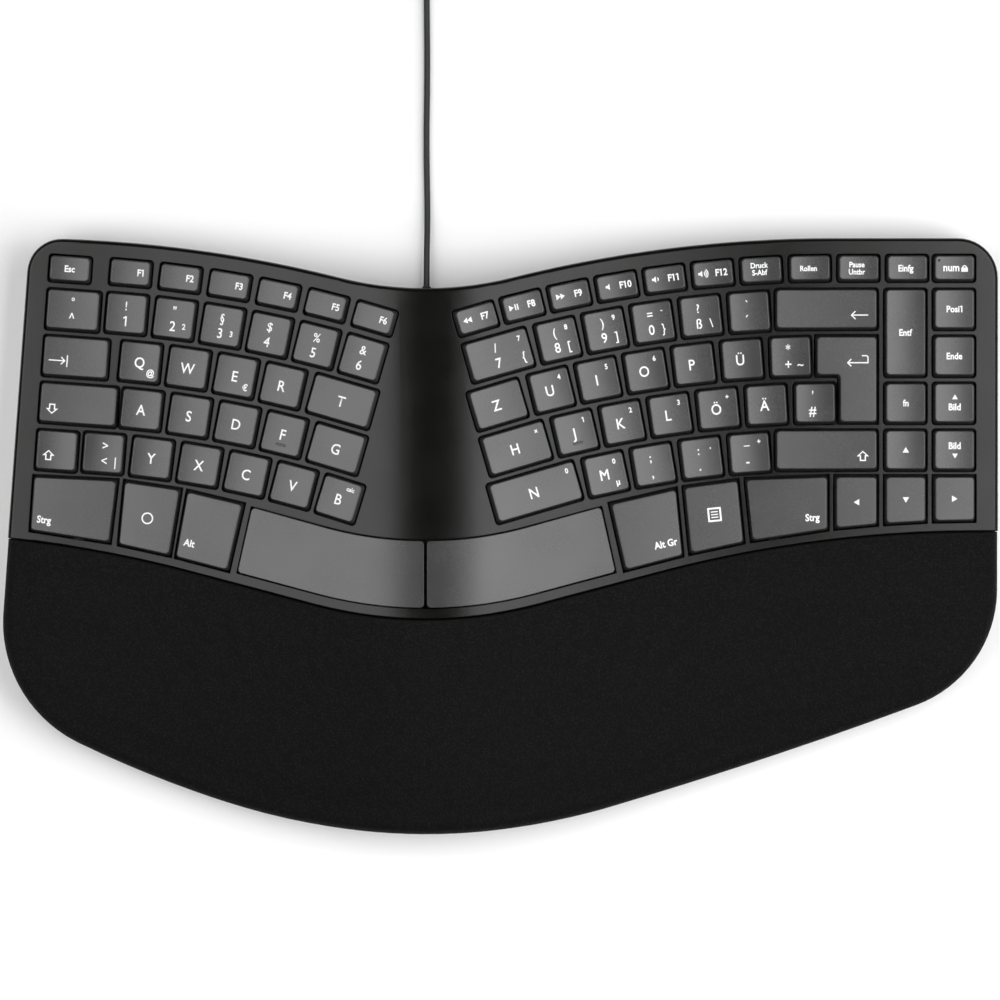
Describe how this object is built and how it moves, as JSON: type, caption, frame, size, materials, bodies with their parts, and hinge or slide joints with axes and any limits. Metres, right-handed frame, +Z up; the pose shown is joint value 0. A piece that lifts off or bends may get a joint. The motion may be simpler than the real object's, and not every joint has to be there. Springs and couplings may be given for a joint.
{
  "type": "ergonomic keyboard",
  "caption": "Split, domed keyboard with a padded palm rest, curved rows of keys on a raised ridge, and a thin cable that ends in a plug.",
  "frame": {"origin": "on the desk, under the middle of the case's box; the stored cable isn't counted", "axes": "+X along the case to the user's right, +Y away from the user, +Z up"},
  "size_m": [0.3862, 0.3778, 0.0343],
  "materials": {
    "case_plastic": "matte",
    "key_plastic": "matte",
    "palm_leatherette": "matte",
    "foam": "matte",
    "dome_rubber": "satin",
    "membrane_film": "gloss",
    "steel": "satin",
    "board_laminate": "satin",
    "chip_resin": "matte",
    "cable_rubber": "satin",
    "plug_plastic": "matte",
    "tie_plastic": "matte",
    "foot_rubber": "matte"
  },
  "bodies": {
    "case": {"bottom_cover": "case_plastic", "cable_tie": "tie_plastic", "controller_board": "board_laminate", "controller_chip": "chip_resin", "inner_lead": "cable_rubber", "key_guide_plate": "case_plastic", "membrane_bottom": "membrane_film", "membrane_clamp": "case_plastic", "membrane_spacer": "membrane_film", "membrane_top": "membrane_film", "palm_rest_base": "case_plastic", "palm_rest_cover": "palm_leatherette", "palm_rest_foam": "foam", "rubber_domes": "dome_rubber", "rubber_feet": "foot_rubber", "screws": "steel", "steel_plate": "steel", "strain_relief": "cable_rubber", "top_cover": "case_plastic", "usb_cable": "cable_rubber", "usb_cable_coil": "cable_rubber", "usb_plug_body": "plug_plastic", "usb_plug_shell": "steel"},
    "alt_body": {"key_alt": "key_plastic"},
    "alt_gr_body": {"key_alt_gr": "key_plastic"},
    "backspace_body": {"key_backspace": "key_plastic"},
    "caps_lock_body": {"key_caps_lock": "key_plastic"},
    "ctrl_left_body": {"key_ctrl_left": "key_plastic"},
    "ctrl_right_body": {"key_ctrl_right": "key_plastic"},
    "delete_body": {"key_delete": "key_plastic"},
    "down_body": {"key_down": "key_plastic"},
    "enter_body": {"key_enter": "key_plastic"},
    "esc_body": {"key_esc": "key_plastic"},
    "fn_body": {"key_fn": "key_plastic"},
    "left_body": {"key_left": "key_plastic"},
    "menu_body": {"key_menu": "key_plastic"},
    "right_body": {"key_right": "key_plastic"},
    "shift_left_body": {"key_shift_left": "key_plastic"},
    "shift_right_body": {"key_shift_right": "key_plastic"},
    "space_left_body": {"key_space_left": "key_plastic"},
    "space_right_body": {"key_space_right": "key_plastic"},
    "start_body": {"key_start": "key_plastic"},
    "tab_body": {"key_tab": "key_plastic"},
    "up_body": {"key_up": "key_plastic"},
    "caret_column_body": {"keys_caret_column": "key_plastic"},
    "f10_column_body": {"keys_f10_column": "key_plastic"},
    "f11_column_body": {"keys_f11_column": "key_plastic"},
    "f12_column_body": {"keys_f12_column": "key_plastic"},
    "f1_column_body": {"keys_f1_column": "key_plastic"},
    "f2_column_body": {"keys_f2_column": "key_plastic"},
    "f3_column_body": {"keys_f3_column": "key_plastic"},
    "f4_column_body": {"keys_f4_column": "key_plastic"},
    "f5_column_body": {"keys_f5_column": "key_plastic"},
    "f6_column_body": {"keys_f6_column": "key_plastic"},
    "f7_column_body": {"keys_f7_column": "key_plastic"},
    "f8_column_body": {"keys_f8_column": "key_plastic"},
    "f9_column_body": {"keys_f9_column": "key_plastic"},
    "navigation_column_body": {"keys_navigation_column": "key_plastic"},
    "print_column_body": {"keys_print_column": "key_plastic"},
    "system_row_body": {"keys_system_row": "key_plastic"}
  },
  "joints": [
    {"name": "press_alt", "type": "slide", "parent": "case", "child": "alt_body", "axis": [0.083, 0, -0.9966], "range_m": [0, 0.0028], "stiffness_N_per_m": 60, "springref_m": -0.004, "deforming": ["rubber_domes"]},
    {"name": "press_alt_gr", "type": "slide", "parent": "case", "child": "alt_gr_body", "axis": [-0.0797, 0, -0.9968], "range_m": [0, 0.0028], "stiffness_N_per_m": 60, "springref_m": -0.004, "deforming": ["rubber_domes"]},
    {"name": "press_backspace", "type": "slide", "parent": "case", "child": "backspace_body", "axis": [0, 0, -1], "range_m": [0, 0.0028], "stiffness_N_per_m": 60, "springref_m": -0.004, "deforming": ["rubber_domes"]},
    {"name": "press_caps_lock", "type": "slide", "parent": "case", "child": "caps_lock_body", "axis": [0, 0, -1], "range_m": [0, 0.0028], "stiffness_N_per_m": 60, "springref_m": -0.004, "deforming": ["rubber_domes"]},
    {"name": "press_ctrl_left", "type": "slide", "parent": "case", "child": "ctrl_left_body", "axis": [0, 0, -1], "range_m": [0, 0.0028], "stiffness_N_per_m": 60, "springref_m": -0.004, "deforming": ["rubber_domes"]},
    {"name": "press_ctrl_right", "type": "slide", "parent": "case", "child": "ctrl_right_body", "axis": [0, 0, -1], "range_m": [0, 0.0028], "stiffness_N_per_m": 60, "springref_m": -0.004, "deforming": ["rubber_domes"]},
    {"name": "press_delete", "type": "slide", "parent": "case", "child": "delete_body", "axis": [0, 0, -1], "range_m": [0, 0.0028], "stiffness_N_per_m": 60, "springref_m": -0.004, "deforming": ["rubber_domes"]},
    {"name": "press_down", "type": "slide", "parent": "case", "child": "down_body", "axis": [0, 0, -1], "range_m": [0, 0.0028], "stiffness_N_per_m": 60, "springref_m": -0.004, "deforming": ["rubber_domes"]},
    {"name": "press_enter", "type": "slide", "parent": "case", "child": "enter_body", "axis": [0, 0, -1], "range_m": [0, 0.0028], "stiffness_N_per_m": 60, "springref_m": -0.004, "deforming": ["rubber_domes"]},
    {"name": "press_esc", "type": "slide", "parent": "case", "child": "esc_body", "axis": [0, 0, -1], "range_m": [0, 0.0028], "stiffness_N_per_m": 60, "springref_m": -0.004, "deforming": ["rubber_domes"]},
    {"name": "press_fn", "type": "slide", "parent": "case", "child": "fn_body", "axis": [0, 0, -1], "range_m": [0, 0.0028], "stiffness_N_per_m": 60, "springref_m": -0.004, "deforming": ["rubber_domes"]},
    {"name": "press_left", "type": "slide", "parent": "case", "child": "left_body", "axis": [0, 0, -1], "range_m": [0, 0.0028], "stiffness_N_per_m": 60, "springref_m": -0.004, "deforming": ["rubber_domes"]},
    {"name": "press_menu", "type": "slide", "parent": "case", "child": "menu_body", "axis": [-0.0375, 0, -0.9993], "range_m": [0, 0.0028], "stiffness_N_per_m": 60, "springref_m": -0.004, "deforming": ["rubber_domes"]},
    {"name": "press_right", "type": "slide", "parent": "case", "child": "right_body", "axis": [0, 0, -1], "range_m": [0, 0.0028], "stiffness_N_per_m": 60, "springref_m": -0.004, "deforming": ["rubber_domes"]},
    {"name": "press_shift_left", "type": "slide", "parent": "case", "child": "shift_left_body", "axis": [0, 0, -1], "range_m": [0, 0.0028], "stiffness_N_per_m": 60, "springref_m": -0.004, "deforming": ["rubber_domes"]},
    {"name": "press_shift_right", "type": "slide", "parent": "case", "child": "shift_right_body", "axis": [0, 0, -1], "range_m": [0, 0.0028], "stiffness_N_per_m": 60, "springref_m": -0.004, "deforming": ["rubber_domes"]},
    {"name": "press_space_left", "type": "slide", "parent": "case", "child": "space_left_body", "axis": [0.1253, 0, -0.9921], "range_m": [0, 0.0028], "stiffness_N_per_m": 60, "springref_m": -0.004, "deforming": ["rubber_domes"]},
    {"name": "press_space_right", "type": "slide", "parent": "case", "child": "space_right_body", "axis": [-0.1253, 0, -0.9921], "range_m": [0, 0.0028], "stiffness_N_per_m": 60, "springref_m": -0.004, "deforming": ["rubber_domes"]},
    {"name": "press_start", "type": "slide", "parent": "case", "child": "start_body", "axis": [0.0441, 0, -0.999], "range_m": [0, 0.0028], "stiffness_N_per_m": 60, "springref_m": -0.004, "deforming": ["rubber_domes"]},
    {"name": "press_tab", "type": "slide", "parent": "case", "child": "tab_body", "axis": [0, 0, -1], "range_m": [0, 0.0028], "stiffness_N_per_m": 60, "springref_m": -0.004, "deforming": ["rubber_domes"]},
    {"name": "press_up", "type": "slide", "parent": "case", "child": "up_body", "axis": [0, 0, -1], "range_m": [0, 0.0028], "stiffness_N_per_m": 60, "springref_m": -0.004, "deforming": ["rubber_domes"]},
    {"name": "press_caret_column", "type": "slide", "parent": "case", "child": "caret_column_body", "axis": [0.0077, 0, -1], "range_m": [0, 0.0028], "stiffness_N_per_m": 60, "springref_m": -0.004, "deforming": ["rubber_domes"]},
    {"name": "press_f10_column", "type": "slide", "parent": "case", "child": "f10_column_body", "axis": [-0.0743, 0, -0.9972], "range_m": [0, 0.0028], "stiffness_N_per_m": 60, "springref_m": -0.004, "deforming": ["rubber_domes"]},
    {"name": "press_f11_column", "type": "slide", "parent": "case", "child": "f11_column_body", "axis": [-0.0433, 0, -0.9991], "range_m": [0, 0.0028], "stiffness_N_per_m": 60, "springref_m": -0.004, "deforming": ["rubber_domes"]},
    {"name": "press_f12_column", "type": "slide", "parent": "case", "child": "f12_column_body", "axis": [-0.019, 0, -0.9998], "range_m": [0, 0.0028], "stiffness_N_per_m": 60, "springref_m": -0.004, "deforming": ["rubber_domes"]},
    {"name": "press_f1_column", "type": "slide", "parent": "case", "child": "f1_column_body", "axis": [0.0377, 0, -0.9993], "range_m": [0, 0.0028], "stiffness_N_per_m": 60, "springref_m": -0.004, "deforming": ["rubber_domes"]},
    {"name": "press_f2_column", "type": "slide", "parent": "case", "child": "f2_column_body", "axis": [0.0691, 0, -0.9976], "range_m": [0, 0.0028], "stiffness_N_per_m": 60, "springref_m": -0.004, "deforming": ["rubber_domes"]},
    {"name": "press_f3_column", "type": "slide", "parent": "case", "child": "f3_column_body", "axis": [0.1, 0, -0.995], "range_m": [0, 0.0028], "stiffness_N_per_m": 60, "springref_m": -0.004, "deforming": ["rubber_domes"]},
    {"name": "press_f4_column", "type": "slide", "parent": "case", "child": "f4_column_body", "axis": [0.1307, 0, -0.9914], "range_m": [0, 0.0028], "stiffness_N_per_m": 60, "springref_m": -0.004, "deforming": ["rubber_domes"]},
    {"name": "press_f5_column", "type": "slide", "parent": "case", "child": "f5_column_body", "axis": [0.1635, 0, -0.9865], "range_m": [0, 0.0028], "stiffness_N_per_m": 60, "springref_m": -0.004, "deforming": ["rubber_domes"]},
    {"name": "press_f6_column", "type": "slide", "parent": "case", "child": "f6_column_body", "axis": [0.1606, 0, -0.987], "range_m": [0, 0.0028], "stiffness_N_per_m": 60, "springref_m": -0.004, "deforming": ["rubber_domes"]},
    {"name": "press_f7_column", "type": "slide", "parent": "case", "child": "f7_column_body", "axis": [-0.1628, 0, -0.9867], "range_m": [0, 0.0028], "stiffness_N_per_m": 60, "springref_m": -0.004, "deforming": ["rubber_domes"]},
    {"name": "press_f8_column", "type": "slide", "parent": "case", "child": "f8_column_body", "axis": [-0.1355, 0, -0.9908], "range_m": [0, 0.0028], "stiffness_N_per_m": 60, "springref_m": -0.004, "deforming": ["rubber_domes"]},
    {"name": "press_f9_column", "type": "slide", "parent": "case", "child": "f9_column_body", "axis": [-0.105, 0, -0.9945], "range_m": [0, 0.0028], "stiffness_N_per_m": 60, "springref_m": -0.004, "deforming": ["rubber_domes"]},
    {"name": "press_navigation_column", "type": "slide", "parent": "case", "child": "navigation_column_body", "axis": [0, 0, -1], "range_m": [0, 0.0028], "stiffness_N_per_m": 60, "springref_m": -0.004, "deforming": ["rubber_domes"]},
    {"name": "press_print_column", "type": "slide", "parent": "case", "child": "print_column_body", "axis": [-0.0023, 0, -1], "range_m": [0, 0.0028], "stiffness_N_per_m": 60, "springref_m": -0.004, "deforming": ["rubber_domes"]},
    {"name": "press_system_row", "type": "slide", "parent": "case", "child": "system_row_body", "axis": [0, 0, -1], "range_m": [0, 0.0028], "stiffness_N_per_m": 60, "springref_m": -0.004, "deforming": ["rubber_domes"]}
  ]
}
